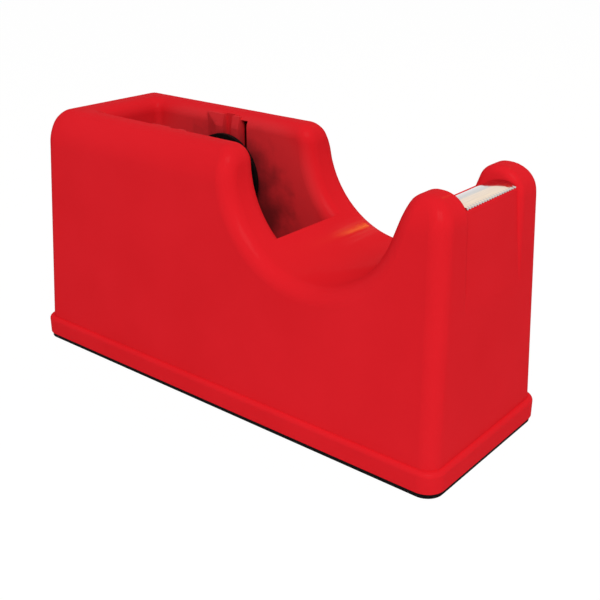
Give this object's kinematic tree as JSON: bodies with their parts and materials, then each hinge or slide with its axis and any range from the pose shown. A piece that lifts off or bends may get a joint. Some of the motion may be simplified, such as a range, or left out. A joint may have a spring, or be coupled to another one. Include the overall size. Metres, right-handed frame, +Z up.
{
  "type": "desk tape dispenser",
  "caption": "Weighted desk tape dispenser with a hollow moulded body, a finger valley, a toothed cutter between two ears and a lift-out hub for small-core tape.",
  "frame": {"origin": "on the desk, under the middle of the foot", "axes": "+X from the tape box to the cutter, +Z up, +Y to the left of someone who looks along +X"},
  "size_m": [0.169, 0.0612, 0.0838],
  "materials": {
    "red_plastic": "satin moulded polystyrene",
    "plate_plastic": "plain moulded",
    "pad_rubber": "soft foam rubber",
    "screw_steel": "zinc plated",
    "ballast_iron": "as cast",
    "blade_steel": "polished",
    "axle_steel": "drawn bright bar",
    "hub_plastic": "plain moulded"
  },
  "bodies": {
    "dispenser": {"body_shell": "red_plastic", "base_plate": "plate_plastic", "base_pad": "pad_rubber", "base_screws": "screw_steel", "ballast_block": "ballast_iron", "cutter_blade": "blade_steel"},
    "axle": {"hub_axle": "axle_steel"},
    "tape_hub": {"hub_half_near": "hub_plastic", "hub_half_far": "hub_plastic"}
  },
  "joints": [
    {"name": "hub_lift", "type": "slide", "parent": "dispenser", "child": "axle", "axis": [0, 0, 1], "range_m": [0, 0.045]},
    {"name": "hub_spin", "type": "hinge", "parent": "axle", "child": "tape_hub", "pos_m": [-0.0281, 0, 0.0618], "axis": [0, 1, 0], "continuous": true}
  ]
}
